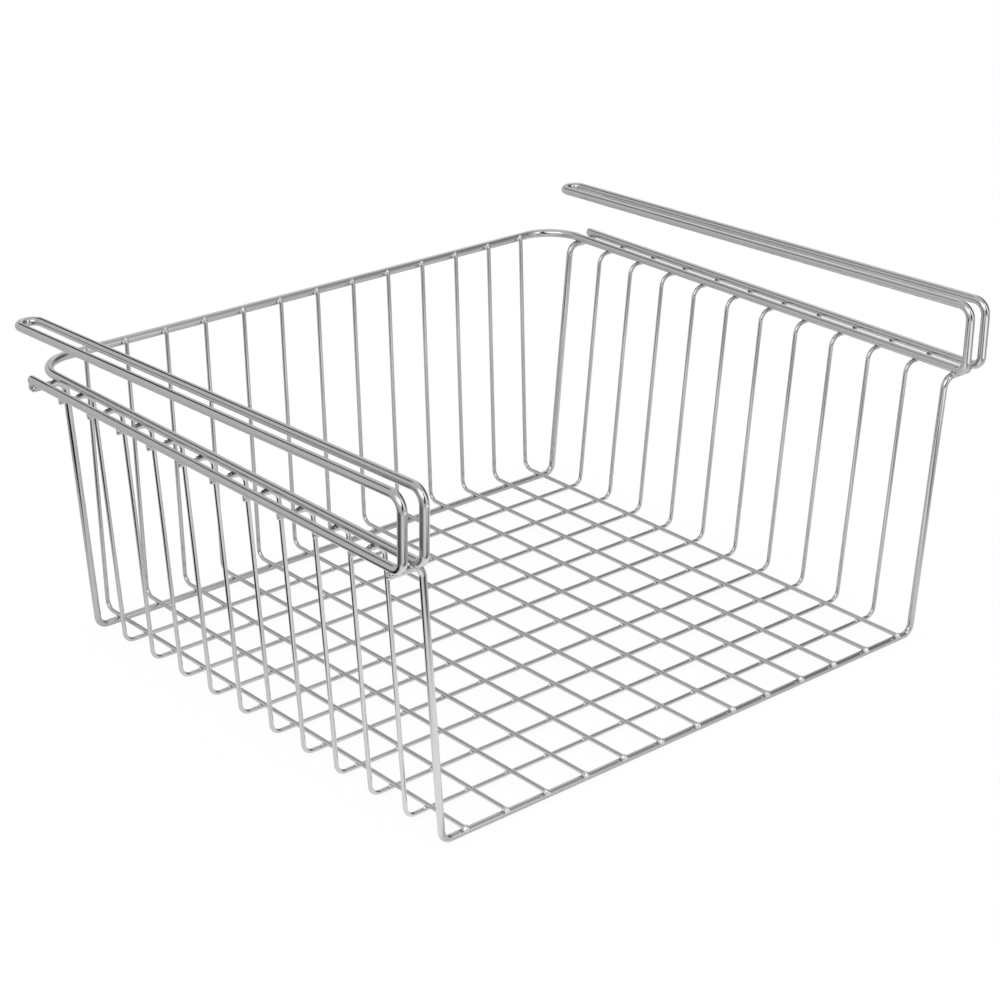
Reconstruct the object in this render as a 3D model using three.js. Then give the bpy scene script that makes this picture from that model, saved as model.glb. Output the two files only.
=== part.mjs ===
// Hanging wire basket that slides on to a shelf board: an open-fronted basket of welded steel wire
// with a rim wire whose two hairpin arms lie on top of the board.
// Millimetres, +Z up, +X to the right, open front towards -Y, standing on Z = 0 and centred on X and Y.
import * as THREE from "three";

// Wire diameters
const GRID_WIRE = 2.3; // floor and wall wires
const END_WIRE = 3.6; // front and back cross wires, which the basket stands on
const RIM_WIRE = 4.6; // rim and hangers

// Floor grid
const LONG_COUNT = 13; // wires that run from front to back
const LONG_PITCH = 25;
const CROSS_PITCH = 25.7; // between the wires that run from side to side, evened out over the depth
const SIDE_RUN = 7.3; // straight floor past the outermost long wire, before the side bends up
const BACK_RUN = 2.9; // straight floor past the back cross wire, before the back wall bends up
const SEAT_RUN = 1; // straight wire kept past a weld before the hanger's front loop begins

// Walls
const RIM_HEIGHT = 148; // from the standing surface to the rim's centre line
const SIDE_LEAN = THREE.MathUtils.degToRad(4.6); // outward lean of the side walls
const BACK_LEAN = THREE.MathUtils.degToRad(3); // backward lean of the back wall
const TIP_RISE = 1.2; // the back wall's wires end this far above the rim's centre line
const LEG_END = 2; // the cross wires end this far out past the outer hanger wire's centre line

// Bends, as radii of the wire's centre line
const FLOOR_BEND = 5.5;
const TOP_BEND = 6;
const RIM_CORNER = 22;
const LOOP_LOW_BEND = 5.5; // foot of the hanger's front loop
const LOOP_TOP_BEND = 7; // top of the hanger's front loop

// Hangers
const HANGER_PITCH = 12; // between the two wires of a hanger, centre to centre
const ARM_RISE = 35; // from the rim's centre line up to the arm's, at the front loop
const ARM_DROP = THREE.MathUtils.degToRad(1.75); // the arms come down towards the back
const HANGER_LENGTH = 306; // from the front loop's centre line to the hairpin's; it sets the depth
const ARM_OVERRUN = 15; // the hairpin lies this far behind the back cross wire
const OUTER_TAIL = 1; // the outer lower wire runs on past the back cross wire

// Fits and facets
const LEAN_GAP = 0.3; // between the leaning back wires and the rim they are welded to
const GRID_SIDES = 8; // sides of a grid wire's section
const RIM_SIDES = 12; // sides of the rim wire's section
const BEND_STEP = THREE.MathUtils.degToRad(22.5); // turn of one facet in a bend

const QUARTER = Math.PI / 2;

// Straight length that a bend takes from each side of its corner.
const bendReach = (radius, turn) => radius * Math.tan(turn / 2);

// Levels
const floorTop = END_WIRE; // all cross wires' tops are level with the end wires'
const longLevel = floorTop + GRID_WIRE / 2;
const rimUnderside = RIM_HEIGHT - RIM_WIRE / 2;
const wallRise = rimUnderside - floorTop; // centre line to centre line, the same for both gauges

// Across: the side walls stand outside the last long wire, and the rim lies where their tops run flat
const sideTurn = QUARTER - SIDE_LEAN;
const floorCorner = ((LONG_COUNT - 1) / 2) * LONG_PITCH + SIDE_RUN + bendReach(FLOOR_BEND, sideTurn);
const wallTopCorner = floorCorner + wallRise * Math.tan(SIDE_LEAN);
const rimHalf = wallTopCorner + bendReach(TOP_BEND, sideTurn);
const outerHalf = rimHalf + HANGER_PITCH;
const legHalf = outerHalf + LEG_END;

// Front to back, from the front cross wire at 0: the floor is as deep as the arms need
const loopFront = -(END_WIRE / 2 + SEAT_RUN + LOOP_LOW_BEND);
const hairpin = loopFront + HANGER_LENGTH;
const backCross = hairpin - ARM_OVERRUN;
const crossSpaces = Math.round(backCross / CROSS_PITCH);
const crossStep = backCross / crossSpaces;
const backTurn = QUARTER - BACK_LEAN;
const backCorner = backCross + END_WIRE / 2 + BACK_RUN + bendReach(FLOOR_BEND, backTurn);
const backTop = backCorner + (RIM_HEIGHT - longLevel) * Math.tan(BACK_LEAN);
const rimBack = backTop + (GRID_WIRE / 2 + LEAN_GAP) / Math.cos(BACK_LEAN) + RIM_WIRE / 2;
const depthMiddle = (loopFront + Math.max(rimBack, hairpin)) / 2;

// Steel with a bright plated finish.
const steel = () => new THREE.MeshStandardMaterial({ color: "#b7b9bb", roughness: 0.26, metalness: 1 });

// A wire's centre line: straight runs between corners, each inner corner rounded to its own radius.
// It is sampled only where the wire starts, bends and ends.
class WirePath extends THREE.Curve {
  constructor(corners) {
    super();
    this.points = [];
    this.tangents = [];
    corners.forEach((corner, i) => {
      const before = corners[i - 1];
      const after = corners[i + 1];
      if (before && after) this.addBend(before.at, corner, after.at);
      else this.addStation(corner.at, this.direction(before?.at ?? corner.at, after?.at ?? corner.at));
    });
  }

  direction(from, to) {
    return to.clone().sub(from).normalize();
  }

  addStation(point, tangent) {
    const last = this.points.at(-1);
    if (last && last.distanceTo(point) < 1e-6) return;
    this.points.push(point.clone());
    this.tangents.push(tangent.clone());
  }

  addBend(before, corner, after) {
    const incoming = this.direction(before, corner.at);
    const outgoing = this.direction(corner.at, after);
    const turn = incoming.angleTo(outgoing);
    const axis = incoming.clone().cross(outgoing).normalize();
    const start = corner.at.clone().addScaledVector(incoming, -bendReach(corner.radius, turn));
    const inward = axis.clone().cross(incoming);
    const centre = start.clone().addScaledVector(inward, corner.radius);
    const facets = Math.ceil(turn / BEND_STEP);
    for (let k = 0; k <= facets; k++) {
      const angle = (turn * k) / facets;
      const spoke = inward.clone().multiplyScalar(-corner.radius).applyAxisAngle(axis, angle);
      this.addStation(centre.clone().add(spoke), incoming.clone().applyAxisAngle(axis, angle));
    }
  }

  get steps() {
    return this.points.length - 1;
  }

  getPointAt(share) {
    return this.points[Math.round(share * this.steps)].clone();
  }

  getTangentAt(share) {
    return this.tangents[Math.round(share * this.steps)].clone();
  }
}

// Wire section with flat sides facing up, down, left and right, its diameter measured across them.
function wireSection(diameter, sides) {
  const rim = diameter / 2 / Math.cos(Math.PI / sides);
  const corners = [];
  for (let k = 0; k < sides; k++) {
    const angle = ((2 * k + 1) * Math.PI) / sides;
    corners.push(new THREE.Vector2(rim * Math.cos(angle), rim * Math.sin(angle)));
  }
  return new THREE.Shape(corners);
}

// One bent wire as a closed solid.
function wire(name, diameter, sides, corners) {
  const path = new WirePath(corners);
  const geometry = new THREE.ExtrudeGeometry(wireSection(diameter, sides), {
    extrudePath: path,
    steps: path.steps,
    bevelEnabled: false,
  });
  const mesh = new THREE.Mesh(geometry, steel());
  mesh.name = name;
  return mesh;
}

const corner = (x, y, z, radius = 0) => ({ at: new THREE.Vector3(x, y, z), radius });

// Two-digit number of a wire in its row.
const numbered = (stem, index) => stem + "_" + String(index).padStart(2, "0");

// Cross wire: floor, both side walls, and the short legs on which the rim and the outer wire lie.
function crossWire(name, diameter) {
  const floor = floorTop - diameter / 2;
  const leg = rimUnderside - diameter / 2;
  return wire(name, diameter, GRID_SIDES, [
    corner(-legHalf, 0, leg),
    corner(-wallTopCorner, 0, leg, TOP_BEND),
    corner(-floorCorner, 0, floor, FLOOR_BEND),
    corner(floorCorner, 0, floor, FLOOR_BEND),
    corner(wallTopCorner, 0, leg, TOP_BEND),
    corner(legHalf, 0, leg),
  ]);
}

function crossWires() {
  const group = new THREE.Group();
  for (let j = 0; j <= crossSpaces; j++) {
    const front = j === 0;
    const back = j === crossSpaces;
    const name = front ? "front_cross_wire" : back ? "back_cross_wire" : numbered("cross_wire", j);
    const mesh = crossWire(name, front || back ? END_WIRE : GRID_WIRE);
    mesh.position.y = j * crossStep;
    group.add(mesh);
  }
  return group;
}

// Long wire: lies on the cross wires from the front one's face, and rises as the back wall to the rim.
function longWire(name) {
  const tipLevel = RIM_HEIGHT + TIP_RISE;
  const tip = backCorner + (tipLevel - longLevel) * Math.tan(BACK_LEAN);
  return wire(name, GRID_WIRE, GRID_SIDES, [
    corner(0, -END_WIRE / 2, longLevel),
    corner(0, backCorner, longLevel, FLOOR_BEND),
    corner(0, tip, tipLevel),
  ]);
}

function longWires() {
  const group = new THREE.Group();
  for (let i = 0; i < LONG_COUNT; i++) {
    const mesh = longWire(numbered("long_wire", i + 1));
    mesh.position.x = (i - (LONG_COUNT - 1) / 2) * LONG_PITCH;
    group.add(mesh);
  }
  return group;
}

// Half of the rim and hanger wire, from the outer lower wire's tail round to the back corner.
function hangerCorners(side) {
  const armFront = RIM_HEIGHT + ARM_RISE;
  const armBack = armFront - HANGER_LENGTH * Math.tan(ARM_DROP);
  const outer = side * outerHalf;
  const inner = side * rimHalf;
  return [
    corner(outer, backCross + END_WIRE / 2 + OUTER_TAIL, RIM_HEIGHT),
    corner(outer, loopFront, RIM_HEIGHT, LOOP_LOW_BEND),
    corner(outer, loopFront, armFront, LOOP_TOP_BEND),
    corner(outer, hairpin, armBack, HANGER_PITCH / 2),
    corner(inner, hairpin, armBack, HANGER_PITCH / 2),
    corner(inner, loopFront, armFront, LOOP_TOP_BEND),
    corner(inner, loopFront, RIM_HEIGHT, LOOP_LOW_BEND),
    corner(inner, rimBack, RIM_HEIGHT, RIM_CORNER),
  ];
}

// The rim and both hangers are one wire: left hanger, left side, back, right side, right hanger.
function rimAndHangers() {
  const corners = [...hangerCorners(-1), ...hangerCorners(1).reverse()];
  return wire("rim_and_hanger_wire", RIM_WIRE, RIM_SIDES, corners);
}

const basket = new THREE.Group();
basket.name = "hanging_wire_basket";
basket.position.y = -depthMiddle;
basket.add(crossWires(), longWires(), rimAndHangers());

export default basket;
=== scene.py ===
"""Looks of a hanging wire basket: round plated wires, their welds, the studio and the camera.

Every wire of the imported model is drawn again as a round, smoothly bent wire on the same centre line, and the
weld metal at the crossings is added. All lengths are in metres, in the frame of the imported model: +X to the
right, +Y from the open front to the back wall, +Z up, with the basket standing on Z = 0.
"""

from __future__ import annotations

import logging
import math
from dataclasses import dataclass
from enum import Enum
from functools import cached_property
from typing import Any, ClassVar, Iterable, Mapping, Sequence

import bmesh
import bpy
from mathutils import Matrix, Vector, noise

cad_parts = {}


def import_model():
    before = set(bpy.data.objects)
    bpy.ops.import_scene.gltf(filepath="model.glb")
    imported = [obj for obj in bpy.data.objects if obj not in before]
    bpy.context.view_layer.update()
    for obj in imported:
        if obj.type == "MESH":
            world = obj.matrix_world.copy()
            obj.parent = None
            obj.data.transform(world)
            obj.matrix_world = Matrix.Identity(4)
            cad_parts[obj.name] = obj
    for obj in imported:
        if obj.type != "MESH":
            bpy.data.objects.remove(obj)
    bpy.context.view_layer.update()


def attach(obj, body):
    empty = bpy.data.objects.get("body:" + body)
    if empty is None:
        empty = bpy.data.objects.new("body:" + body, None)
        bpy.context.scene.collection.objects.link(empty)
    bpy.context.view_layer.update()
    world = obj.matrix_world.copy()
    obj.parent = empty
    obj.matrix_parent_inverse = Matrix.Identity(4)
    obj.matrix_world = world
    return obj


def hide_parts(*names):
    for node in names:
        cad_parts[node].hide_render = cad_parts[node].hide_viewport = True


LOG = logging.getLogger("basket")

MM = 0.001
BODY = "root"
WHITE = "#ffffff"

# Point attributes: the place on a wire before it was bent, and the stage's brightness in the metal
UNBENT = "unbent"
GLOW = "glow"

# Nearly all values of a noise lie between these
NOISE_LOW, NOISE_HIGH = 0.3, 0.7


class Slot(Enum):
    """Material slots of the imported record."""

    GRID = "grid_wire"
    END = "end_wire"
    RIM = "rim_wire"


class WireEnd(Enum):
    """How a wire's end is left: cut square with a small chamfer, or rounded to half a ball."""

    CUT = "cut"
    ROUNDED = "rounded"


def linear_rgba(hex_colour: str) -> tuple[float, float, float, float]:
    """Converts an sRGB hex colour to linear light.

    Args:
        hex_colour: Six hex digits, with a leading number sign.

    Returns:
        Linear red, green and blue, and an alpha of 1.
    """
    channels = [int(hex_colour[i : i + 2], 16) / 255 for i in (1, 3, 5)]
    red, green, blue = (c / 12.92 if c <= 0.04045 else ((c + 0.055) / 1.055) ** 2.4 for c in channels)
    return red, green, blue, 1.0


def add_node(
    tree: bpy.types.NodeTree, kind: str, inputs: Mapping[str | int, Any] | None = None, **settings: Any
) -> bpy.types.Node:
    """Adds one shader node and fills its inputs.

    Args:
        tree: Node tree that gets the node.
        kind: Blender's name of the node type.
        inputs: Value or source socket for each input, by name or place.
        settings: Properties of the node itself.

    Returns:
        The new node.
    """
    node = tree.nodes.new(kind)
    for name, value in settings.items():
        setattr(node, name, value)
    for name, value in (inputs or {}).items():
        if isinstance(value, bpy.types.NodeSocket):
            tree.links.new(value, node.inputs[name])
        else:
            node.inputs[name].default_value = value
    return node


def new_material(name: str) -> tuple[bpy.types.Material, bpy.types.NodeTree]:
    """Makes an empty node material.

    Args:
        name: Name of the material.

    Returns:
        The material and its cleared node tree.
    """
    material = bpy.data.materials.new(name)
    material.use_nodes = True
    material.node_tree.nodes.clear()
    return material, material.node_tree


def smooth_step(low: float, high: float, value: float) -> float:
    """Rises smoothly from 0 at low to 1 at high.

    Args:
        low: Value at which the rise starts.
        high: Value at which it ends.
        value: Value to look up.

    Returns:
        Share between 0 and 1.
    """
    share = min(1.0, max(0.0, (value - low) / (high - low)))
    return share * share * (3 - 2 * share)


@dataclass(frozen=True)
class BasketSizes:
    """Sizes of the basket, the same as those of its solids, and what follows from them.

    Attributes:
        grid_wire: Diameter of the floor and wall wires.
        end_wire: Diameter of the front and back cross wires, which the basket stands on.
        rim_wire: Diameter of the rim and hanger wire.
        long_count: Number of wires from front to back.
        long_pitch: Spacing of those wires.
        cross_pitch: Spacing of the wires from side to side, evened out over the depth.
        side_run: Straight floor past the outermost long wire.
        back_run: Straight floor past the back cross wire.
        seat_run: Straight wire past a weld before a hanger's front loop begins.
        rim_height: From the standing surface to the rim's centre line.
        side_lean: Outward lean of the side walls.
        back_lean: Backward lean of the back wall.
        tip_rise: The back wall's wires end this far above the rim's centre line.
        leg_end: The cross wires end this far out past the outer hanger wire's centre line.
        floor_bend: Radius of the bends from the floor to the walls.
        top_bend: Radius of the bends from the side walls to the legs.
        rim_corner: Radius of the rim's back corners.
        loop_low_bend: Radius of the bends at the feet of the front loops.
        loop_top_bend: Radius of the bends at the tops of the front loops.
        hanger_pitch: Between the two wires of a hanger.
        arm_rise: From the rim's centre line up to an arm's, at the front loop.
        arm_drop: Slope of the arms, down towards the back.
        hanger_length: From a front loop's centre line to its hairpin's.
        arm_overrun: The hairpins lie this far behind the back cross wire.
        outer_tail: The outer lower wires run on this far past the back cross wire.
        lean_gap: Between the leaning back wires and the rim that they are welded to.
    """

    grid_wire: float = 2.3 * MM
    end_wire: float = 3.6 * MM
    rim_wire: float = 4.6 * MM
    long_count: int = 13
    long_pitch: float = 25 * MM
    cross_pitch: float = 25.7 * MM
    side_run: float = 7.3 * MM
    back_run: float = 2.9 * MM
    seat_run: float = 1 * MM
    rim_height: float = 148 * MM
    side_lean: float = math.radians(4.6)
    back_lean: float = math.radians(3)
    tip_rise: float = 1.2 * MM
    leg_end: float = 2 * MM
    floor_bend: float = 5.5 * MM
    top_bend: float = 6 * MM
    rim_corner: float = 22 * MM
    loop_low_bend: float = 5.5 * MM
    loop_top_bend: float = 7 * MM
    hanger_pitch: float = 12 * MM
    arm_rise: float = 35 * MM
    arm_drop: float = math.radians(1.75)
    hanger_length: float = 306 * MM
    arm_overrun: float = 15 * MM
    outer_tail: float = 1 * MM
    lean_gap: float = 0.3 * MM

    @staticmethod
    def bend_reach(radius: float, turn: float) -> float:
        """Straight length that a bend takes from each side of its corner."""
        return radius * math.tan(turn / 2)

    @cached_property
    def floor_top(self) -> float:
        """Level of the cross wires' tops."""
        return self.end_wire

    @cached_property
    def long_level(self) -> float:
        """Level of the long wires' centre lines on the floor."""
        return self.floor_top + self.grid_wire / 2

    @cached_property
    def rim_underside(self) -> float:
        """Level on which the rim rests."""
        return self.rim_height - self.rim_wire / 2

    @cached_property
    def floor_corner(self) -> float:
        """Half width at which the floor turns up into the side walls."""
        reach = self.bend_reach(self.floor_bend, math.pi / 2 - self.side_lean)
        return (self.long_count - 1) / 2 * self.long_pitch + self.side_run + reach

    @cached_property
    def wall_top_corner(self) -> float:
        """Half width at which the side walls turn outwards into their legs."""
        return self.floor_corner + (self.rim_underside - self.floor_top) * math.tan(self.side_lean)

    @cached_property
    def rim_half(self) -> float:
        """Half width of the rim between centre lines."""
        return self.wall_top_corner + self.bend_reach(self.top_bend, math.pi / 2 - self.side_lean)

    @cached_property
    def outer_half(self) -> float:
        """Half width between the outer hanger wires."""
        return self.rim_half + self.hanger_pitch

    @cached_property
    def leg_half(self) -> float:
        """Half width over the ends of the legs."""
        return self.outer_half + self.leg_end

    @cached_property
    def loop_front(self) -> float:
        """Depth of the front loops, from the front cross wire."""
        return -(self.end_wire / 2 + self.seat_run + self.loop_low_bend)

    @cached_property
    def hairpin(self) -> float:
        """Depth of the hairpins at the arms' back ends."""
        return self.loop_front + self.hanger_length

    @cached_property
    def back_cross(self) -> float:
        """Depth of the back cross wire."""
        return self.hairpin - self.arm_overrun

    @cached_property
    def cross_spaces(self) -> int:
        """Number of spaces between cross wires."""
        return round(self.back_cross / self.cross_pitch)

    @cached_property
    def cross_step(self) -> float:
        """Spacing of the cross wires."""
        return self.back_cross / self.cross_spaces

    @cached_property
    def back_corner(self) -> float:
        """Depth at which the floor turns up into the back wall."""
        reach = self.bend_reach(self.floor_bend, math.pi / 2 - self.back_lean)
        return self.back_cross + self.end_wire / 2 + self.back_run + reach

    @cached_property
    def rim_back(self) -> float:
        """Depth of the rim's back run."""
        top = self.back_corner + (self.rim_height - self.long_level) * math.tan(self.back_lean)
        return top + (self.grid_wire / 2 + self.lean_gap) / math.cos(self.back_lean) + self.rim_wire / 2

    @cached_property
    def depth_middle(self) -> float:
        """Depth that lies at Y = 0 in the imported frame."""
        return (self.loop_front + max(self.rim_back, self.hairpin)) / 2

    def point(self, across: float, depth: float, level: float) -> Vector:
        """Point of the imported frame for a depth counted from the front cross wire."""
        return Vector((across, depth - self.depth_middle, level))

    def long_places(self) -> list[float]:
        """Where the long wires lie across the basket."""
        return [(i - (self.long_count - 1) / 2) * self.long_pitch for i in range(self.long_count)]

    def cross_places(self) -> list[float]:
        """Depths of the cross wires, from the front one."""
        return [j * self.cross_step for j in range(self.cross_spaces + 1)]

    def cross_gauge(self, index: int) -> float:
        """Diameter of a cross wire: the first and the last are the thick end wires."""
        return self.end_wire if index in (0, self.cross_spaces) else self.grid_wire


@dataclass(frozen=True)
class Corner:
    """Corner of a wire's centre line.

    Attributes:
        at: Where the straight runs on both sides would meet.
        bend: Radius that the wire is bent to there.
    """

    at: Vector
    bend: float = 0.0


@dataclass(frozen=True)
class Station:
    """Place along a wire where its round section is drawn.

    Attributes:
        at: Centre of the section.
        along: Direction of the wire there.
        run: Length of wire up to there.
        scale: Radius of the section over that of the wire.
    """

    at: Vector
    along: Vector
    run: float
    scale: float = 1.0


class WirePath:
    """Centre line of a bent wire: straight runs between corners that are rounded to their bend radius."""

    # Turn of one step round a bend
    BEND_STEP = math.radians(6)
    # Stations closer than this are one
    SAME_PLACE = 1e-7
    # Guard sections lie this far from the ends of straight runs that are at least this long
    GUARD, GUARDED_RUN = 0.5 * MM, 4 * MM
    # A cut end's chamfer over the wire's radius, and the shares of its depth and cut at which it bulges
    CHAMFER, BULGE_DEPTH, BULGE_CUT = 0.16, 0.35, 0.3
    # A rounded end starts from a small flat, at this angle
    DOME_START, DOME_STEPS = math.radians(80), 7

    def __init__(self, corners: Sequence[Corner]) -> None:
        """Places stations at the wire's two ends and round each bend.

        Args:
            corners: Corners of the centre line, from start to end.
        """
        self.stations: list[Station] = []
        self._add(corners[0].at, (corners[1].at - corners[0].at).normalized())
        for before, corner, after in zip(corners, corners[1:], corners[2:]):
            self._add_bend(before.at, corner, after.at)
        self._add(corners[-1].at, (corners[-1].at - corners[-2].at).normalized())

    def _add(self, at: Vector, along: Vector) -> None:
        """Adds a station unless the last one is already there.

        Args:
            at: Place on the centre line.
            along: Direction of the wire there.
        """
        run = 0.0
        if self.stations:
            last = self.stations[-1]
            gap = (at - last.at).length
            if gap < self.SAME_PLACE:
                return
            run = last.run + gap
        self.stations.append(Station(at, along, run))

    def _add_bend(self, before: Vector, corner: Corner, after: Vector) -> None:
        """Adds the stations round one bend.

        Args:
            before: Corner before this one.
            corner: Corner to round.
            after: Corner after this one.
        """
        incoming = (corner.at - before).normalized()
        outgoing = (after - corner.at).normalized()
        turn = incoming.angle(outgoing)
        axis = incoming.cross(outgoing).normalized()
        inward = axis.cross(incoming)
        start = corner.at - incoming * BasketSizes.bend_reach(corner.bend, turn)
        centre = start + inward * corner.bend
        steps = math.ceil(turn / self.BEND_STEP)
        for k in range(steps + 1):
            spin = Matrix.Rotation(turn * k / steps, 3, axis)
            self._add(centre + spin @ (inward * -corner.bend), spin @ incoming)

    def finished(self, radius: float, start: WireEnd, end: WireEnd) -> list[Station]:
        """Gives the stations with both wire ends shaped.

        Args:
            radius: Radius of the wire.
            start: Shape of the first end.
            end: Shape of the last end.

        Returns:
            Stations from tip to tip.
        """
        first, last = self.stations[0], self.stations[-1]
        shaped = [Station(first.at + first.along * back, first.along, back, scale)
                  for back, scale in self._end_profile(radius, start)]
        shaped += self.stations[1:-1]
        shaped += [Station(last.at - last.along * back, last.along, last.run - back, scale)
                   for back, scale in reversed(self._end_profile(radius, end))]
        return self._guarded(shaped)

    def _guarded(self, stations: Sequence[Station]) -> list[Station]:
        """Adds a section close to both ends of each straight run, so that a bend's shading stops there.

        Args:
            stations: Stations from tip to tip.

        Returns:
            The same stations with those between them.
        """
        guarded = [stations[0]]
        for before, after in zip(stations, stations[1:]):
            gap = after.run - before.run
            if gap > self.GUARDED_RUN:
                for share in (self.GUARD / gap, 1 - self.GUARD / gap):
                    at = before.at.lerp(after.at, share)
                    guarded.append(Station(at, before.along, before.run + gap * share))
            guarded.append(after)
        return guarded

    def _end_profile(self, radius: float, style: WireEnd) -> list[tuple[float, float]]:
        """Outline of a wire's end, from its tip inwards.

        Args:
            radius: Radius of the wire.
            style: Shape of the end.

        Returns:
            Distance from the tip and radius over the wire's, for each section.
        """
        if style is WireEnd.CUT:
            return [
                (0.0, 1 - self.CHAMFER),
                (self.CHAMFER * radius * self.BULGE_DEPTH, 1 - self.CHAMFER * self.BULGE_CUT),
                (self.CHAMFER * radius, 1.0),
            ]
        angles = [self.DOME_START * (1 - k / self.DOME_STEPS) for k in range(self.DOME_STEPS + 1)]
        return [(radius * (1 - math.sin(a)), math.cos(a)) for a in angles]


class Tube:
    """Round tube along a wire's stations, with the place of each point on the wire before it was bent."""

    def __init__(self, radius: float, sides: int) -> None:
        """Keeps the section.

        Args:
            radius: Radius of the wire.
            sides: Points round the section.
        """
        self.radius = radius
        self.sides = sides

    def build(self, name: str, stations: Sequence[Station], offset: float) -> bpy.types.Mesh:
        """Sweeps the section along the stations.

        Args:
            name: Name of the mesh.
            stations: Sections from tip to tip.
            offset: Added to the run, so that no two wires share their marks.

        Returns:
            A closed mesh, smooth except for its two end faces.
        """
        points: list[Vector] = []
        unbent: list[float] = []
        side = stations[0].along.orthogonal().normalized()
        along = stations[0].along
        for station in stations:
            side = along.rotation_difference(station.along) @ side
            along = station.along
            up = along.cross(side)
            reach = self.radius * station.scale
            for k in range(self.sides):
                angle = 2 * math.pi * k / self.sides
                points.append(station.at + (side * math.cos(angle) + up * math.sin(angle)) * reach)
                unbent += (reach * math.cos(angle), reach * math.sin(angle), station.run + offset)
        mesh = bpy.data.meshes.new(name)
        mesh.from_pydata(points, [], self._faces(len(stations)))
        mesh.attributes.new(UNBENT, "FLOAT_VECTOR", "POINT").data.foreach_set("vector", unbent)
        mesh.polygons.foreach_set("use_smooth", [p.loop_total == 4 for p in mesh.polygons])
        mesh.update()
        return mesh

    def _faces(self, rings: int) -> list[tuple[int, ...]]:
        """Lists the faces of a tube.

        Args:
            rings: Number of sections.

        Returns:
            Corner numbers of the sides and of the two ends.
        """
        n = self.sides
        faces: list[tuple[int, ...]] = [
            (r * n + k, r * n + (k + 1) % n, (r + 1) * n + (k + 1) % n, (r + 1) * n + k)
            for r in range(rings - 1)
            for k in range(n)
        ]
        faces.append(tuple(reversed(range(n))))
        faces.append(tuple(range((rings - 1) * n, rings * n)))
        return faces


@dataclass(frozen=True)
class PlatedDrawnSteel:
    """Steel wire drawn through a die, bent, welded, polished and then bright plated.

    Drawing leaves fine lines along the wire, which the thin plating follows. They blur a reflection a little,
    and more across the wire than along it. Polishing by tumbling leaves a faint ripple, so that the long
    reflections on the straight runs waver, and the plating is a little thicker and whiter in some stretches.

    Attributes:
        name: Name of the material.
        thin_plate: Colour where the plating is thin.
        full_plate: Colour where it is full.
        polish: Roughness between the die lines.
        scuffed: Roughness along the die lines.
        line_width: Spacing of the die lines. Real ones are about 0.05 mm apart, which no view here resolves,
            so they are drawn some four times coarser.
        line_length: Length over which a die line comes and goes.
        line_height: Height of a die line.
        line_strength: Share of that height that counts.
        ripple: Length of a ripple left by tumbling.
        ripple_aspect: Its length over its width.
        ripple_height: Its height.
        cloud: Length of a stretch of thicker plating.
        cloud_aspect: Its length over its width.
    """

    name: str
    thin_plate: str = "#b7b7b7"
    full_plate: str = "#c1c1c1"
    polish: float = 0.08
    scuffed: float = 0.18
    line_width: float = 0.22 * MM
    line_length: float = 40 * MM
    line_height: float = 0.006 * MM
    line_strength: float = 0.5
    ripple: float = 9 * MM
    ripple_aspect: float = 3
    ripple_height: float = 0.03 * MM
    cloud: float = 22 * MM
    cloud_aspect: float = 4

    def build(self) -> bpy.types.Material:
        """Makes the material.

        Returns:
            A metal whose marks follow the wire round its bends.
        """
        material, tree = new_material(self.name)
        unbent = add_node(tree, "ShaderNodeAttribute", attribute_name=UNBENT).outputs["Vector"]
        lines = self._grain(tree, unbent, self.line_width, self.line_length, detail=2.0)
        ripple = self._grain(tree, unbent, self.ripple / self.ripple_aspect, self.ripple, detail=1.0)
        cloud = self._grain(tree, unbent, self.cloud / self.cloud_aspect, self.cloud, detail=2.0)
        colour = add_node(
            tree, "ShaderNodeMix",
            {0: cloud, 6: linear_rgba(self.thin_plate), 7: linear_rgba(self.full_plate)}, data_type="RGBA",
        )
        rough = add_node(
            tree, "ShaderNodeMapRange",
            {
                "Value": lines,
                "From Min": NOISE_LOW,
                "From Max": NOISE_HIGH,
                "To Min": self.polish,
                "To Max": self.scuffed,
            },
        )
        waver = add_node(
            tree, "ShaderNodeBump", {"Strength": 1.0, "Distance": self.ripple_height, "Height": ripple}
        )
        drawn = add_node(
            tree, "ShaderNodeBump",
            {
                "Strength": self.line_strength,
                "Distance": self.line_height,
                "Height": lines,
                "Normal": waver.outputs[0],
            },
        )
        shader = add_node(
            tree, "ShaderNodeBsdfPrincipled",
            {
                "Metallic": 1.0,
                "Base Color": colour.outputs[2],
                "Roughness": rough.outputs[0],
                "Normal": drawn.outputs[0],
            },
        )
        add_node(tree, "ShaderNodeOutputMaterial", {"Surface": shader.outputs[0]})
        return material

    @staticmethod
    def _grain(
        tree: bpy.types.NodeTree, place: bpy.types.NodeSocket, width: float, length: float, detail: float
    ) -> bpy.types.NodeSocket:
        """Adds a noise whose cells have a real size.

        Args:
            tree: Node tree of the material.
            place: Coordinates in metres, the last one along the wire.
            width: Size of a cell across the wire.
            length: Size of a cell along the wire.
            detail: Octaves of finer noise.

        Returns:
            The noise, between 0 and 1.
        """
        scale = [1 / width, 1 / width, 1 / length]
        scaled = add_node(tree, "ShaderNodeMapping", {"Vector": place, "Scale": scale})
        grain = add_node(
            tree, "ShaderNodeTexNoise", {"Vector": scaled.outputs[0], "Scale": 1.0, "Detail": detail}
        )
        return grain.outputs[0]


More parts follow.
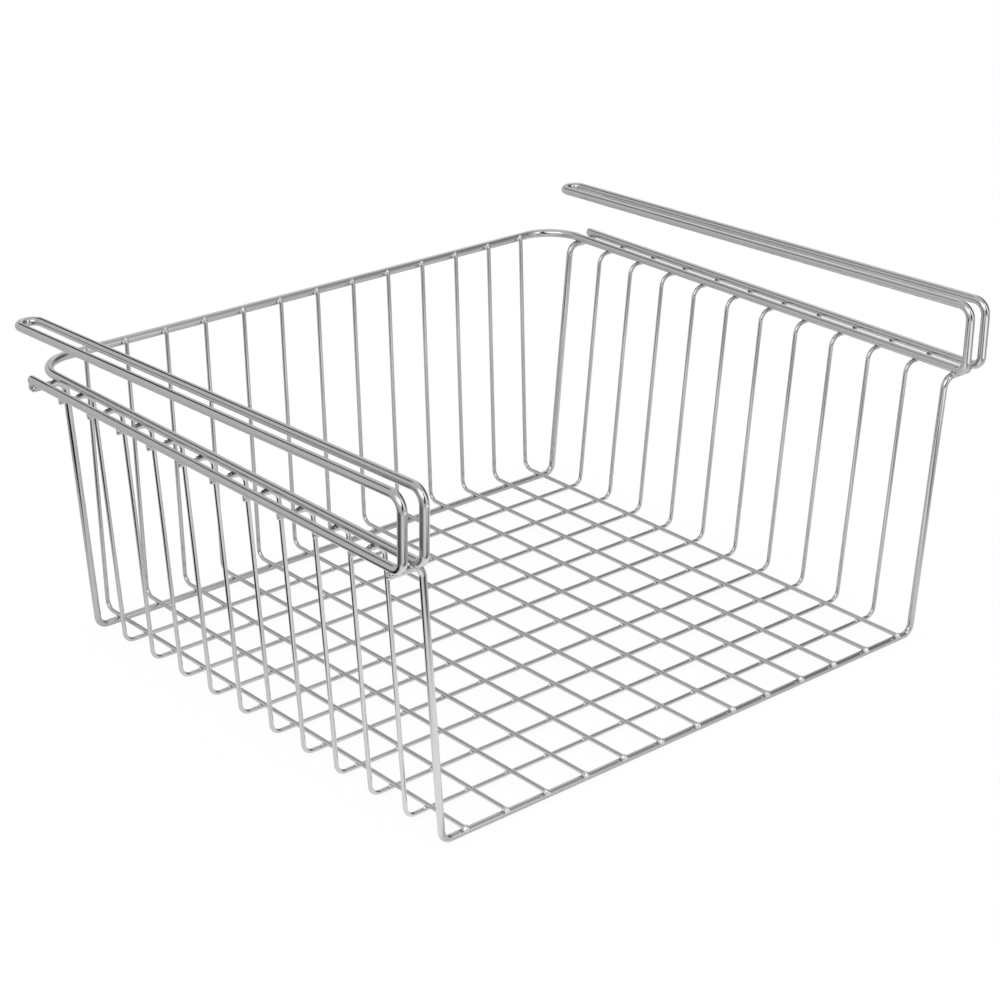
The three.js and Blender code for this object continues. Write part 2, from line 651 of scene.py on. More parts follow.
@dataclass(frozen=True)
class PlatedWeldMetal:
    """Weld metal squeezed out of a spot weld, frozen in small lumps and plated over with the wire.

    It isn't polished by the tumbling, which doesn't reach into the corners, so it is pitted and glints in
    points where the wire shows long streaks. Its crests are coloured lighter than its pits: painted glints on
    the lumps, and painted shade in the pits.

    Attributes:
        name: Name of the material.
        pit: Colour in the pits, painted darker than the crests as shade.
        crest_glint: Colour on the crests, a painted glint.
        crest_start: Noise at which the pits' painted shade starts to give way to the painted glint.
        crest_full: Noise from which the painted glint's colour is full.
        lump: Size of the lumps.
        height: Their height.
        polish: Roughness on the crests.
        pitted: Roughness in the pits.
    """

    name: str = "plated_spot_weld_metal"
    pit: str = "#c0c0c0"
    crest_glint: str = "#fafafa"
    crest_start: float = 0.4
    crest_full: float = 0.64
    lump: float = 0.7 * MM
    height: float = 0.12 * MM
    polish: float = 0.14
    pitted: float = 0.38

    def build(self) -> bpy.types.Material:
        """Makes the material.

        Returns:
            A lumpy metal, brighter on its crests.
        """
        material, tree = new_material(self.name)
        place = add_node(tree, "ShaderNodeTexCoord").outputs["Object"]
        lumps = add_node(
            tree, "ShaderNodeTexNoise", {"Vector": place, "Scale": 1 / self.lump, "Detail": 3.0}
        ).outputs[0]
        # Painted light: by the same noise as the bumps, the crests get the glint colour and the pits the shade
        # colour
        crests = add_node(
            tree, "ShaderNodeMapRange",
            {"Value": lumps, "From Min": self.crest_start, "From Max": self.crest_full},
        )
        colour = add_node(
            tree, "ShaderNodeMix",
            {0: crests.outputs[0], 6: linear_rgba(self.pit), 7: linear_rgba(self.crest_glint)}, data_type="RGBA",
        )
        rough = add_node(
            tree, "ShaderNodeMapRange",
            {
                "Value": lumps,
                "From Min": NOISE_LOW,
                "From Max": NOISE_HIGH,
                "To Min": self.pitted,
                "To Max": self.polish,
            },
        )
        bumps = add_node(tree, "ShaderNodeBump", {"Strength": 1.0, "Distance": self.height, "Height": lumps})
        shader = add_node(
            tree, "ShaderNodeBsdfPrincipled",
            {
                "Metallic": 1.0,
                "Base Color": colour.outputs[2],
                "Roughness": rough.outputs[0],
                "Normal": bumps.outputs[0],
            },
        )
        add_node(tree, "ShaderNodeOutputMaterial", {"Surface": shader.outputs[0]})
        return material


def add_piece(name: str, mesh: bpy.types.Mesh, material: bpy.types.Material, slot: Slot) -> bpy.types.Object:
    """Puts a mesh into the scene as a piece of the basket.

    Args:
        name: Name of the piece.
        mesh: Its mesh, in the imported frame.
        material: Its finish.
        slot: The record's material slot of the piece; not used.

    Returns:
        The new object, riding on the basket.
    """
    piece = bpy.data.objects.new(name, mesh)
    mesh.materials.append(material)
    bpy.context.scene.collection.objects.link(piece)
    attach(piece, BODY)
    LOG.info("%s: %d faces, %s", name, len(mesh.polygons), material.name)
    return piece


@dataclass(frozen=True)
class Wire:
    """One bent wire, drawn round in place of its CAD node.

    Attributes:
        node: CAD node that the wire stands for.
        sizes: Sizes of the basket.
        diameter: Diameter of the wire.
        slot: The record's material slot.
        sides: Points round its section.
    """

    node: str
    sizes: BasketSizes
    diameter: float
    slot: Slot
    sides: int = 20

    def corners(self) -> list[Corner]:
        """Corners of the centre line, from start to end."""
        raise NotImplementedError

    def ends(self) -> tuple[WireEnd, WireEnd]:
        """Shapes of the first and the last end."""
        return WireEnd.ROUNDED, WireEnd.ROUNDED

    def build(self, material: bpy.types.Material, offset: float) -> bpy.types.Object:
        """Draws the wire and hides its CAD node.

        Args:
            material: Finish of the wire.
            offset: Shift of its surface marks along the wire.

        Returns:
            The new piece.
        """
        radius = self.diameter / 2
        stations = WirePath(self.corners()).finished(radius, *self.ends())
        mesh = Tube(radius, self.sides).build(self.node + "_plated", stations, offset)
        piece = add_piece(self.node + "_plated", mesh, material, self.slot)
        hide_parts(self.node)
        return piece


@dataclass(frozen=True)
class CrossWire(Wire):
    """Wire from side to side: floor, both side walls, and the short legs under the rim.

    Attributes:
        depth: How far it lies behind the front cross wire.
    """

    depth: float = 0.0

    def corners(self) -> list[Corner]:
        """Corners from the left leg's end to the right one's.

        Returns:
            Leg, wall and floor corners, mirrored across the basket.
        """
        s = self.sizes
        floor = s.floor_top - self.diameter / 2
        leg = s.rim_underside - self.diameter / 2
        left = [
            (s.leg_half, leg, 0.0),
            (s.wall_top_corner, leg, s.top_bend),
            (s.floor_corner, floor, s.floor_bend),
        ]
        return [Corner(s.point(-x, self.depth, z), r) for x, z, r in left] + [
            Corner(s.point(x, self.depth, z), r) for x, z, r in reversed(left)
        ]


@dataclass(frozen=True)
class LongWire(Wire):
    """Wire from front to back: floor and back wall.

    Attributes:
        across: Where it lies along X.
    """

    across: float = 0.0

    def corners(self) -> list[Corner]:
        """Corners from the front end to the tip at the back rim.

        Returns:
            Front end, foot of the back wall, and tip.
        """
        s = self.sizes
        tip_level = s.rim_height + s.tip_rise
        tip = s.back_corner + (tip_level - s.long_level) * math.tan(s.back_lean)
        return [
            Corner(s.point(self.across, -s.end_wire / 2, s.long_level)),
            Corner(s.point(self.across, s.back_corner, s.long_level), s.floor_bend),
            Corner(s.point(self.across, tip, tip_level)),
        ]


@dataclass(frozen=True)
class RimAndHangerWire(Wire):
    """The one wire that makes the left hanger, the rim and the right hanger."""

    sides: int = 32

    def half(self, side: int) -> list[Corner]:
        """Corners of one half.

        Args:
            side: -1 for the left half and 1 for the right one.

        Returns:
            Corners from the outer wire's tail round to the back corner of the rim.
        """
        s = self.sizes
        front = s.rim_height + s.arm_rise
        back = front - s.hanger_length * math.tan(s.arm_drop)
        outer, inner = side * s.outer_half, side * s.rim_half
        tail = s.back_cross + s.end_wire / 2 + s.outer_tail
        turns = [
            (outer, tail, s.rim_height, 0.0),
            (outer, s.loop_front, s.rim_height, s.loop_low_bend),
            (outer, s.loop_front, front, s.loop_top_bend),
            (outer, s.hairpin, back, s.hanger_pitch / 2),
            (inner, s.hairpin, back, s.hanger_pitch / 2),
            (inner, s.loop_front, front, s.loop_top_bend),
            (inner, s.loop_front, s.rim_height, s.loop_low_bend),
            (inner, s.rim_back, s.rim_height, s.rim_corner),
        ]
        return [Corner(s.point(x, y, z), r) for x, y, z, r in turns]

    def corners(self) -> list[Corner]:
        """Corners of the left half, then of the right half backwards."""
        return self.half(-1) + self.half(1)[::-1]

    def ends(self) -> tuple[WireEnd, WireEnd]:
        """Both tails are cut square."""
        return WireEnd.CUT, WireEnd.CUT


@dataclass(frozen=True)
class WeldBead:
    """Lump of weld metal in the corner between two wires.

    Attributes:
        at: Middle of the lump.
        reach: Half sizes along X, Y and Z.
    """

    at: Vector
    reach: Vector

    # Depth of the surface's waves, how close they lie, and a scale that gives each place waves of its own
    UNEVEN: ClassVar[float] = 0.22
    WAVES: ClassVar[float] = 1.3
    SEED_SCALE: ClassVar[float] = 1000

    def add_to(self, mesh: bmesh.types.BMesh) -> None:
        """Adds the lump, each one a little uneven in its own way.

        Args:
            mesh: Mesh that collects a row of welds.
        """
        ball = bmesh.ops.create_icosphere(mesh, subdivisions=2, radius=1.0)
        seed = self.at * self.SEED_SCALE
        for vert in ball["verts"]:
            uneven = 1 + self.UNEVEN * noise.noise(vert.co * self.WAVES + seed)
            vert.co = self.at + Vector(a * b * uneven for a, b in zip(vert.co, self.reach))


@dataclass(frozen=True)
class WeldForm:
    """Form of one kind of weld, in millimetres from a point on the wires that it joins.

    Attributes:
        reach: Half sizes along X, Y and Z.
        aside: Its middle lies this far outwards.
        back: Its middle lies this far towards the back.
        up: Its middle lies this far upwards.
    """

    reach: tuple[float, float, float]
    aside: float = 0.0
    back: float = 0.0
    up: float = 0.0

    def bead(self, place: Vector, side: int = 1) -> WeldBead:
        """Makes a lump of this form.

        Args:
            place: Point on the wires.
            side: -1 where outwards is to the left, and 1 where it is to the right.

        Returns:
            The lump.
        """
        offset = Vector((side * self.aside, self.back, self.up))
        return WeldBead(place + offset * MM, Vector(self.reach) * MM)


@dataclass(frozen=True)
class Welds:
    """Weld metal at the places where the wires cross.

    Attributes:
        sizes: Sizes of the basket.
        ball: Ball in which a long wire ends on the front cross wire.
        ear: Small lump to the right of the ball.
        floor_lump: Lump beside a long wire, where it lies on a cross wire.
        rim_lump: Lump on a thin leg, outside the rim.
        nub: End of a thin leg, melted to the outer hanger wire.
        heel: Lump under the outer hanger wire's tail.
        inner_foot: Lump on a thick leg, under the foot of the inner loop.
        outer_foot: Lump on a thick leg, under the foot of the outer loop.
        tip_cap: Cap on a tip of the back wall.
        tip_lump: Lump beside that tip, in the corner with the rim.
    """

    sizes: BasketSizes
    ball: WeldForm = WeldForm((1.75, 1.75, 1.75), back=-2.0, up=0.9)
    ear: WeldForm = WeldForm((0.64, 0.64, 0.64), aside=2.2, back=-1.0, up=-0.3)
    floor_lump: WeldForm = WeldForm((0.8, 0.88, 0.64), aside=0.24, back=-0.3, up=0.15)
    rim_lump: WeldForm = WeldForm((1.6, 0.96, 0.68), aside=-0.092, up=0.1)
    nub: WeldForm = WeldForm((1.3, 1.9, 1.1), aside=0.7, up=-0.2)
    heel: WeldForm = WeldForm((2.4, 2.3, 3.0), aside=0.3, back=0.7, up=-0.3)
    inner_foot: WeldForm = WeldForm((2.2, 2.0, 1.5), aside=0.3, back=-0.9, up=-0.7)
    outer_foot: WeldForm = WeldForm((2.2, 2.0, 1.5), aside=-0.6, back=-0.9, up=-0.7)
    tip_cap: WeldForm = WeldForm((1.25, 1.1, 1.25), back=-0.85, up=1.2)
    tip_lump: WeldForm = WeldForm((0.8, 0.88, 0.96), aside=-0.046, back=-0.45, up=0.4)

    def build(
        self, plain: bpy.types.Material, shade_painted: bpy.types.Material, smooth: bpy.types.Material
    ) -> list[bpy.types.Object]:
        """Adds every group of welds as one piece.

        Args:
            plain: Finish of the weld metal at the grid and the back tips.
            shade_painted: Finish of the weld metal under the rim, whose near-black pits are painted shade.
            smooth: Finish of the weld metal at the legs' ends.

        Returns:
            The new pieces.
        """
        return [
            self._piece("front_end_welds", self._front_ends(), plain, Slot.GRID),
            self._piece("floor_welds", self._floor(), plain, Slot.GRID),
            # The rim welds carry painted shade: near-black pits, with painted glints on their crests
            self._piece("rim_welds", self._rim(), shade_painted, Slot.RIM),
            self._piece("leg_end_welds", self._leg_ends(), smooth, Slot.END),
            self._piece("back_tip_welds", self._back_tips(), plain, Slot.RIM),
        ]

    @staticmethod
    def _piece(
        name: str, beads: Iterable[WeldBead], material: bpy.types.Material, slot: Slot
    ) -> bpy.types.Object:
        """Joins lumps into one piece.

        Args:
            name: Name of the piece.
            beads: Lumps of the group.
            material: Finish of the weld metal.
            slot: The record's material slot.

        Returns:
            The new piece.
        """
        collected = bmesh.new()
        for bead in beads:
            bead.add_to(collected)
        for face in collected.faces:
            face.smooth = True
        mesh = bpy.data.meshes.new(name)
        collected.to_mesh(mesh)
        collected.free()
        return add_piece(name, mesh, material, slot)

    def _front_ends(self) -> Iterable[WeldBead]:
        """Welds in which the long wires end on the front cross wire.

        Yields:
            A ball and a small ear beside it for each long wire.
        """
        s = self.sizes
        for across in s.long_places():
            crossing = s.point(across, 0.0, s.floor_top)
            yield self.ball.bead(crossing)
            yield self.ear.bead(crossing)

    def _floor(self) -> Iterable[WeldBead]:
        """Lumps on both sides of each long wire, where it lies on a cross wire.

        Yields:
            Two lumps for each crossing of the floor grid behind the front cross wire.
        """
        s = self.sizes
        for depth in s.cross_places()[1:]:
            for across in s.long_places():
                for side in (-1, 1):
                    beside = across + side * s.grid_wire / 2
                    yield self.floor_lump.bead(s.point(beside, depth, s.floor_top), side)

    def _rim(self) -> Iterable[WeldBead]:
        """Lumps on the thin legs, in the corner outside the rim that lies on them.

        Yields:
            A lump for each crossing.
        """
        s = self.sizes
        outside = s.rim_half + s.rim_wire / 2
        for depth in s.cross_places()[1:-1]:
            for side in (-1, 1):
                yield self.rim_lump.bead(s.point(side * outside, depth, s.rim_underside), side)

    def _leg_ends(self) -> Iterable[WeldBead]:
        """Smooth lumps where the legs end at the hangers.

        Yields:
            On each side, a nub for each thin leg, a heel under the outer wire's tail and a lump under each
            foot of the front loops.
        """
        s = self.sizes
        for side in (-1, 1):
            inner, outer = side * s.rim_half, side * s.outer_half
            for depth in s.cross_places()[1:-1]:
                yield self.nub.bead(s.point(outer, depth, s.rim_underside), side)
            yield self.heel.bead(s.point(outer, s.back_cross, s.rim_underside), side)
            yield self.inner_foot.bead(s.point(inner, 0.0, s.rim_underside), side)
            yield self.outer_foot.bead(s.point(outer, 0.0, s.rim_underside), side)

    def _back_tips(self) -> Iterable[WeldBead]:
        """Caps on the back wall's tips, and lumps beside them in the corner with the rim.

        Yields:
            A cap and two lumps for each long wire.
        """
        s = self.sizes
        rim_face = s.rim_back - s.rim_wire / 2
        for across in s.long_places():
            yield self.tip_cap.bead(s.point(across, rim_face, s.rim_height))
            for side in (-1, 1):
                beside = across + side * s.grid_wire / 2
                yield self.tip_lump.bead(s.point(beside, rim_face, s.rim_height), side)


@dataclass(frozen=True)
class WireBasket:
    """The whole basket: floor and wall wires, rim, hangers and welds.

    Attributes:
        sizes: Sizes of the basket.
    """

    sizes: BasketSizes

    # Shift of the surface marks from one wire to the next, longer than any of the wires
    MARK_STEP: ClassVar[float] = 3.7

    def wires(self) -> list[Wire]:
        """Every wire with its CAD node, gauge and place.

        Returns:
            Cross wires from front to back, long wires from left to right, and the rim wire.
        """
        s = self.sizes
        made: list[Wire] = []
        ends = {0: "front_cross_wire", s.cross_spaces: "back_cross_wire"}
        for index, depth in enumerate(s.cross_places()):
            name = ends.get(index, f"cross_wire_{index:02d}")
            slot = Slot.END if index in ends else Slot.GRID
            made.append(CrossWire(name, s, s.cross_gauge(index), slot, depth=depth))
        for index, across in enumerate(s.long_places()):
            made.append(LongWire(f"long_wire_{index + 1:02d}", s, s.grid_wire, Slot.GRID, across=across))
        made.append(RimAndHangerWire("rim_and_hanger_wire", s, s.rim_wire, Slot.RIM))
        return made

    def build(self) -> None:
        """Draws all wires and welds in their finishes."""
        finishes = {
            Slot.GRID: PlatedDrawnSteel("bright_plated_drawn_steel_grid_wire").build(),
            Slot.END: PlatedDrawnSteel("bright_plated_drawn_steel_end_wire", line_width=0.26 * MM).build(),
            Slot.RIM: PlatedDrawnSteel("bright_plated_drawn_steel_rim_wire", line_width=0.3 * MM).build(),
        }
        for index, wire in enumerate(self.wires()):
            wire.build(finishes[wire.slot], self.MARK_STEP * index)
        # The welds under the rim get near-black pits as painted shade, for the dark reflections and contact
        # shadows where the thin legs run under the rim; their grey crests are painted glints
        shade_painted = PlatedWeldMetal("plated_sooted_weld_metal", pit="#030303", crest_glint="#b0b0b0", lump=0.9 * MM)
        Welds(self.sizes).build(PlatedWeldMetal().build(), shade_painted.build(), finishes[Slot.END])


@dataclass(frozen=True)
class Panel:
    """Soft-edged part of the light tent, as seen from the basket.

    Attributes:
        bearing: Degrees from +Y towards +X.
        height: Degrees above the floor.
        half_width: Degrees to each side.
        half_height: Degrees up and down.
        level: Glow in its middle.
        edge: Degrees over which it fades.
        slope: Degrees that it rises for each degree of bearing.
    """

    bearing: float
    height: float
    half_width: float
    half_height: float
    level: float
    edge: float = 8.0
    slope: float = 0.0

    def share(self, bearing: float, height: float) -> float:
        """How much of the panel's level counts in a direction.

        Args:
            bearing: Degrees from +Y towards +X.
            height: Degrees above the floor.

        Returns:
            Share between 0 and 1.
        """
        fade = self.edge / 2
        aside = (bearing - self.bearing + 180) % 360 - 180
        above = height - self.height - self.slope * aside
        across = 1 - smooth_step(self.half_width - fade, self.half_width + fade, abs(aside))
        return across * (1 - smooth_step(self.half_height - fade, self.half_height + fade, abs(above)))


@dataclass(frozen=True)
class RoundPanel:
    """Round soft-edged part of the light tent, as seen from the basket.

    Attributes:
        bearing: Degrees from +Y towards +X.
        height: Degrees above the floor.
        radius: Degrees from its middle at which it has half faded.
        level: Glow in its middle.
        edge: Degrees over which it fades.
    """

    bearing: float
    height: float
    radius: float
    level: float
    edge: float

    def share(self, bearing: float, height: float) -> float:
        """How much of the panel's level counts in a direction.

        Args:
            bearing: Degrees from +Y towards +X.
            height: Degrees above the floor.

        Returns:
            Share between 0 and 1.
        """
        here, middle = math.radians(height), math.radians(self.height)
        turn = math.cos(math.radians(bearing - self.bearing))
        cosine = math.sin(here) * math.sin(middle) + math.cos(here) * math.cos(middle) * turn
        apart = math.degrees(math.acos(max(-1.0, min(1.0, cosine))))
        return 1 - smooth_step(self.radius - self.edge / 2, self.radius + self.edge / 2, apart)


@dataclass(frozen=True)
class FloorPatch:
    """Soft-edged oblong patch of the floor that is brighter or darker in the metal.

    Attributes:
        across: Middle along X.
        depth: Middle along Y.
        half_width: Distance along X at which it has half faded.
        half_depth: Distance along Y at which it has half faded.
        level: Glow in its middle.
        edge: Length over which it fades.
    """

    across: float
    depth: float
    half_width: float
    half_depth: float
    level: float
    edge: float = 0.1

    def share(self, x: float, y: float) -> float:
        """How much of the patch's level counts at a place on the floor.

        Args:
            x: Place along X.
            y: Place along Y.

        Returns:
            Share between 0 and 1.
        """
        fade = self.edge / 2
        aside, along = abs(x - self.across), abs(y - self.depth)
        wide = 1 - smooth_step(self.half_width - fade, self.half_width + fade, aside)
        return wide * (1 - smooth_step(self.half_depth - fade, self.half_depth + fade, along))


SoftPart = Panel | RoundPanel | FloorPatch


def blended(base: float, parts: Sequence[SoftPart], first: float, second: float) -> float:
    """Level at a place where soft-edged parts lie over each other.

    Args:
        base: Level beside the parts.
        parts: Parts, each one over those before it.
        first: Bearing, or place along X.
        second: Height, or place along Y.

    Returns:
        The level there.
    """
    level = base
    for part in parts:
        level += (part.level - level) * part.share(first, second)
    return level


def ring_faces(rings: int, columns: int) -> list[tuple[int, ...]]:
    """Lists the faces between closed rings of points.

    Args:
        rings: Number of rings.
        columns: Points in each ring.

    Returns:
        Corner numbers of each face.
    """
    faces: list[tuple[int, ...]] = []
    for ring in range(rings - 1):
        low, high = ring * columns, (ring + 1) * columns
        for c in range(columns):
            beside = (c + 1) % columns
            faces.append((low + c, low + beside, high + beside, high + c))
    return faces


def add_stage(
    name: str,
    points: list[Vector],
    faces: list[tuple[int, ...]],
    glow: list[float],
    material: bpy.types.Material,
) -> bpy.types.Object:
    """Adds a stage mesh with a glow for each of its points.

    Args:
        name: Name of the object.
        points: Its points.
        faces: Its faces.
        glow: Level at each point.
        material: Its finish.

    Returns:
        The stage object.
    """
    mesh = bpy.data.meshes.new(name)
    mesh.from_pydata(points, [], faces)
    mesh.attributes.new(GLOW, "FLOAT", "POINT").data.foreach_set("value", glow)
    mesh.materials.append(material)
    mesh.update()
    stage = bpy.data.objects.new(name, mesh)
    bpy.context.scene.collection.objects.link(stage)
    return stage


def seen_in_metal(tree: bpy.types.NodeTree, path: bpy.types.Node) -> bpy.types.NodeSocket:
    """Tells the rays that come from the metal from all others.

    Args:
        tree: Node tree of the stage.
        path: Its light path node.

    Returns:
        1 for a reflected or transmitted ray, and 0 for others.
    """
    seen = add_node(
        tree, "ShaderNodeMath",
        {0: path.outputs["Is Glossy Ray"], 1: path.outputs["Is Transmission Ray"]}, operation="MAXIMUM",
    )
    return seen.outputs[0]


@dataclass(frozen=True)
class LightTent:
    """Tent of lit fabric round the basket, which only the metal sees.

    Its panels are matched to the streaks on the wires in the photograph.

    Attributes:
        radius: Radius of the tent.
        level: Glow of the plain fabric.
        foot: Degrees above the floor of the lowest row of points.
        row: Degrees from one row to the next.
        rows: Number of rows.
        columns: Points in a row.
        crown: No row lies higher than this, in degrees.
        panels: Lighter and darker parts, each one over those before it.
    """

    radius: float = 2.6
    level: float = 0.82
    foot: float = -1.0
    row: float = 0.75
    rows: int = 122
    columns: int = 120
    crown: float = 89.5
    panels: tuple[Panel | RoundPanel, ...] = (
        # Ceiling
        Panel(bearing=0, height=90, half_width=180, half_height=35, level=0.85, edge=10),
        # Dim right side, which darkens the cross wires towards their right ends
        RoundPanel(bearing=100, height=22, radius=33.5, level=0.19, edge=34),
        # Dim back, and the dark gap below it that draws a line along the arms and the rim's sides
        Panel(bearing=0, height=50, half_width=28, half_height=9, level=0.6),
        Panel(bearing=-5, height=40.2, half_width=22, half_height=5.8, level=0.0, edge=4, slope=-0.52),
        # Bright back right corner, beside that line
        Panel(bearing=45, height=38, half_width=15, half_height=8, level=1.25),
        # Two bright panels in front and the dark gap across them, which show in the bends of the front loops
        Panel(bearing=208, height=38, half_width=58, half_height=19, level=2.1, edge=10),
        Panel(bearing=160, height=13, half_width=12, half_height=14, level=1.3, edge=10),
        Panel(bearing=197, height=18, half_width=21, half_height=24, level=0.0, edge=10, slope=-1.6),
    )

    def build(self) -> None:
        """Adds the tent."""
        points: list[Vector] = []
        glow: list[float] = []
        for height in (self.foot + self.row * k for k in range(self.rows)):
            for bearing in (360 / self.columns * k for k in range(self.columns)):
                b, h = math.radians(bearing), math.radians(min(height, self.crown))
                way = Vector((math.sin(b) * math.cos(h), math.cos(b) * math.cos(h), math.sin(h)))
                points.append(way * self.radius)
                glow.append(blended(self.level, self.panels, bearing, height))
        tent = add_stage("light_tent", points, ring_faces(self.rows, self.columns), glow, self._fabric())
        tent.visible_camera = tent.visible_diffuse = tent.visible_shadow = False

    @staticmethod
    def _fabric() -> bpy.types.Material:
        """Makes thin white fabric lit from outside, which is only seen as light.

        Returns:
            The tent's material.
        """
        material, tree = new_material("lit_tent_fabric")
        material.cycles.emission_sampling = "NONE"
        level = add_node(tree, "ShaderNodeAttribute", attribute_name=GLOW).outputs["Fac"]
        light = add_node(tree, "ShaderNodeEmission", {"Color": linear_rgba(WHITE), "Strength": level})
        add_node(tree, "ShaderNodeOutputMaterial", {"Surface": light.outputs[0]})
        return material


@dataclass(frozen=True)
class PaperFloor:
    """Matt white paper under the basket, which keeps a faint shadow.

    Its patches are matched to the streaks on the wires in the photograph.

    Attributes:
        colour: Colour of the paper.
        plain_white: Share of even white in what the camera sees, which leaves the rest to the shadow.
        level: Glow of the paper in the metal.
        inner: Radius of the innermost ring of points.
        growth: Radius of each ring over that of the ring inside it.
        rings: Number of rings.
        columns: Points in a ring.
        patches: Lighter and darker parts in the metal, each one over those before it.
    """

    colour: str = "#f6f6f6"
    plain_white: float = 0.93
    level: float = 0.75
    inner: float = 0.02
    growth: float = 1.035
    rings: int = 145
    columns: int = 216
    patches: tuple[FloorPatch, ...] = (
        # Light under the basket and beside its left front, in the floor's wires and on the left legs
        FloorPatch(across=0.1, depth=-0.06, half_width=0.32, half_depth=0.2, level=1.0),
        FloorPatch(across=-0.16, depth=-0.03, half_width=0.06, half_depth=0.09, level=1.13),
        FloorPatch(across=-0.12, depth=-0.2, half_width=0.15, half_depth=0.1, level=1.34),
        FloorPatch(across=-0.31, depth=-0.24, half_width=0.07, half_depth=0.08, level=1.2, edge=0.08),
        # Contact shadows before the two thick cross wires
        FloorPatch(across=0.0, depth=-0.156, half_width=0.165, half_depth=0.011, level=0.8, edge=0.014),
        FloorPatch(across=0.0, depth=0.126, half_width=0.165, half_depth=0.011, level=0.74, edge=0.014),
        # Shade to the left, which draws the dark lines on the left legs
        FloorPatch(across=-0.46, depth=0.16, half_width=0.12, half_depth=0.1, level=0.4),
        FloorPatch(across=-0.5, depth=0.0, half_width=0.17, half_depth=0.13, level=0.12, edge=0.08),
        FloorPatch(across=-0.33, depth=0.0, half_width=0.085, half_depth=0.085, level=0.0, edge=0.06),
        FloorPatch(across=-0.62, depth=-0.19, half_width=0.15, half_depth=0.1, level=0.15, edge=0.08),
        # Shade before the front, in the uprights of the loops
        FloorPatch(across=0.03, depth=-0.405, half_width=0.14, half_depth=0.06, level=0.3, edge=0.07),
        FloorPatch(across=-0.185, depth=-0.425, half_width=0.09, half_depth=0.07, level=0.0, edge=0.06),
        # Light farther out, in the same uprights
        FloorPatch(across=-0.36, depth=-0.47, half_width=0.14, half_depth=0.07, level=1.15, edge=0.08),
        FloorPatch(across=0.06, depth=-0.85, half_width=0.22, half_depth=0.3, level=1.4),
        FloorPatch(across=0.16, depth=-0.61, half_width=0.19, half_depth=0.08, level=1.7),
        # Shade at the front right
        FloorPatch(across=0.56, depth=-0.55, half_width=0.1, half_depth=0.17, level=0.4),
    )

    def build(self) -> None:
        """Adds the floor."""
        points: list[Vector] = []
        glow: list[float] = []
        for radius in (self.inner * self.growth**k for k in range(self.rings)):
            for k in range(self.columns):
                angle = 2 * math.pi * k / self.columns
                x, y = radius * math.cos(angle), radius * math.sin(angle)
                points.append(Vector((x, y, 0.0)))
                glow.append(blended(self.level, self.patches, x, y))
        faces = ring_faces(self.rings, self.columns)
        faces.append(tuple(range(self.columns)))
        add_stage("white_floor", points, faces, glow, self._paper())

    def _paper(self) -> bpy.types.Material:
        """Makes matt white paper, shown nearly white to the camera and with its glow to the metal.

        Returns:
            The floor's material.
        """
        material, tree = new_material("matt_white_paper")
        material.cycles.emission_sampling = "NONE"
        path = add_node(tree, "ShaderNodeLightPath")
        camera = path.outputs["Is Camera Ray"]
        share = add_node(
            tree, "ShaderNodeMath",
            {0: camera, 1: self.plain_white, 2: seen_in_metal(tree, path)}, operation="MULTIPLY_ADD",
        )
        glow = add_node(tree, "ShaderNodeAttribute", attribute_name=GLOW).outputs["Fac"]
        level = add_node(tree, "ShaderNodeMix", {0: camera, 2: glow, 3: 1.0}, data_type="FLOAT")
        paper = add_node(tree, "ShaderNodeBsdfDiffuse", {"Color": linear_rgba(self.colour)})
        white = add_node(
            tree, "ShaderNodeEmission", {"Color": linear_rgba(WHITE), "Strength": level.outputs[0]}
        )
        mixed = add_node(
            tree, "ShaderNodeMixShader", {0: share.outputs[0], 1: paper.outputs[0], 2: white.outputs[0]}
        )
        add_node(tree, "ShaderNodeOutputMaterial", {"Surface": mixed.outputs[0]})
        return material


@dataclass(frozen=True)
class PhotoCamera:
    """Camera where the photograph was taken from, found by fitting the wires' centre lines to it.

    Attributes:
        place: Where it stands.
        yaw: Degrees from +Y towards +X in which it looks.
        pitch: Degrees that it looks down.
        roll: Degrees that it is turned about its line of sight.
        lens: Focal length in millimetres.
        sensor: Width of the picture behind the lens, in millimetres.
        far: Distance up to which it sees.
    """

    place: tuple[float, float, float] = (-0.784547, -0.886198, 0.597788)
    yaw: float = 41.563
    pitch: float = 23.846
    roll: float = -0.708
    lens: float = 89.347
    sensor: float = 36.0
    far: float = 100.0

    def build(self) -> None:
        """Adds the camera and makes it the scene's."""
        yaw, pitch, roll = math.radians(self.yaw), math.radians(self.pitch), math.radians(self.roll)
        level = math.cos(pitch)
        ahead = Vector((math.sin(yaw) * level, math.cos(yaw) * level, -math.sin(pitch)))
        right = Vector((math.cos(yaw), -math.sin(yaw), 0.0))
        down = ahead.cross(right)
        image_right = right * math.cos(roll) + down * math.sin(roll)
        image_down = down * math.cos(roll) - right * math.sin(roll)
        data = bpy.data.cameras.new("photo_camera")
        data.sensor_width = self.sensor
        data.lens = self.lens
        data.clip_end = self.far
        camera = bpy.data.objects.new("photo_camera", data)
        turn = Matrix((image_right, -image_down, -ahead)).transposed()
        camera.matrix_world = Matrix.Translation(self.place) @ turn.to_4x4()
        bpy.context.scene.collection.objects.link(camera)
        bpy.context.scene.camera = camera


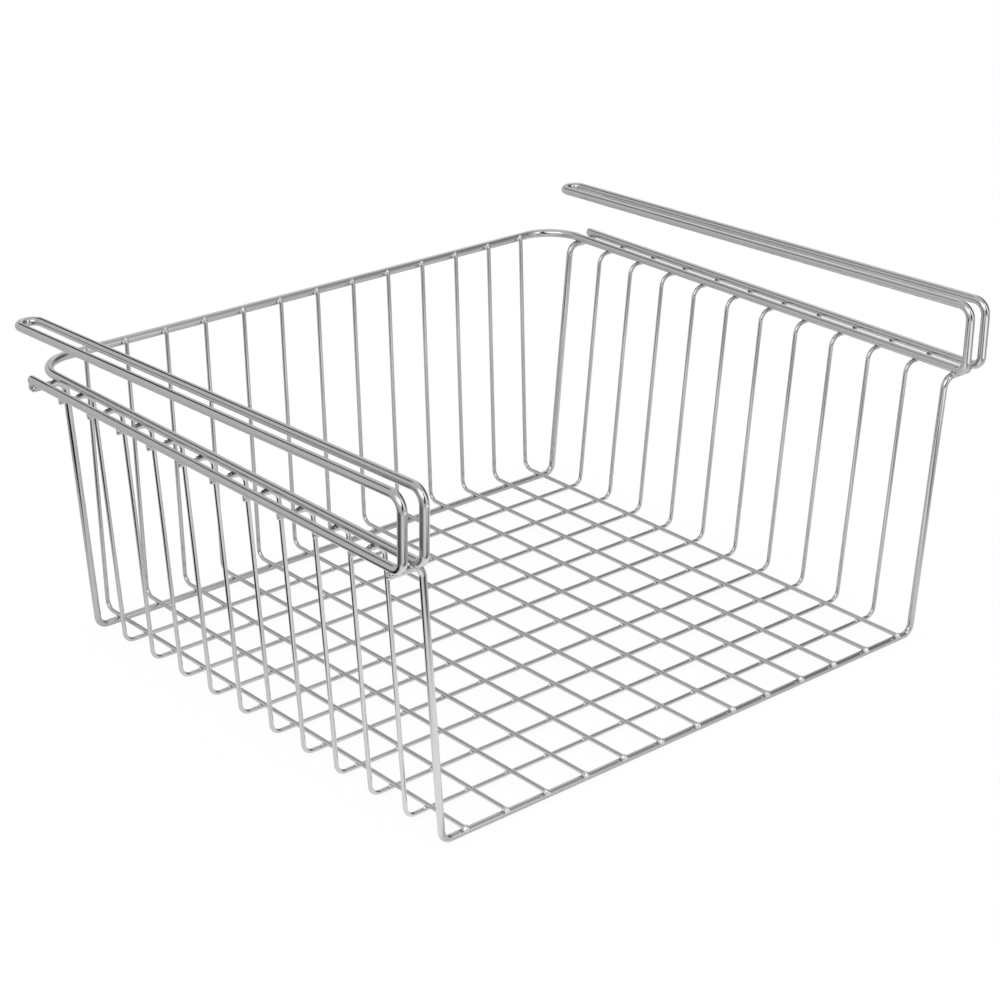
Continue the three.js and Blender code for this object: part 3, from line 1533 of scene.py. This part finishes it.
@dataclass(frozen=True)
class Studio:
    """White studio: a paper floor, a light tent, one soft lamp, a white world and the camera.

    Attributes:
        lamp_width: Width of the lamp.
        lamp_depth: Depth of the lamp.
        lamp_power: Watts of the lamp.
        lamp_place: Where it hangs.
        world_light: Level of the world as a light.
    """

    lamp_width: float = 1.6
    lamp_depth: float = 1.2
    lamp_power: float = 4.0
    lamp_place: tuple[float, float, float] = (-0.2, -0.1, 2.0)
    world_light: float = 1.05

    def build(self) -> None:
        """Sets up everything round the basket."""
        PaperFloor().build()
        LightTent().build()
        self._lamp()
        self._world()
        PhotoCamera().build()
        bpy.context.scene.view_settings.view_transform = "Standard"

    def _lamp(self) -> None:
        """Adds one large soft lamp above the basket, which the metal doesn't show."""
        light = bpy.data.lights.new("soft_lamp", "AREA")
        light.shape = "RECTANGLE"
        light.size, light.size_y = self.lamp_width, self.lamp_depth
        light.energy = self.lamp_power
        lamp = bpy.data.objects.new("soft_lamp", light)
        lamp.location = self.lamp_place
        lamp.visible_glossy = False
        bpy.context.scene.collection.objects.link(lamp)

    def _world(self) -> None:
        """Makes a white world, plain for the camera and the metal, and a soft light for the floor."""
        world = bpy.data.worlds.new("white_studio")
        world.use_nodes = True
        tree = world.node_tree
        tree.nodes.clear()
        path = add_node(tree, "ShaderNodeLightPath")
        plain = add_node(
            tree, "ShaderNodeMath",
            {0: path.outputs["Is Camera Ray"], 1: seen_in_metal(tree, path)}, operation="MAXIMUM",
        )
        level = add_node(
            tree, "ShaderNodeMix", {0: plain.outputs[0], 2: self.world_light, 3: 1.0}, data_type="FLOAT"
        )
        sky = add_node(
            tree, "ShaderNodeBackground", {"Color": linear_rgba(WHITE), "Strength": level.outputs[0]}
        )
        add_node(tree, "ShaderNodeOutputWorld", {"Surface": sky.outputs[0]})
        bpy.context.scene.world = world


def main() -> None:
    """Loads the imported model, dresses it and sets the stage."""
    logging.basicConfig(level=logging.INFO, format="%(name)s: %(message)s")
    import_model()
    WireBasket(BasketSizes()).build()
    Studio().build()
    bpy.context.view_layer.update()


if __name__ == "__main__":
    main()
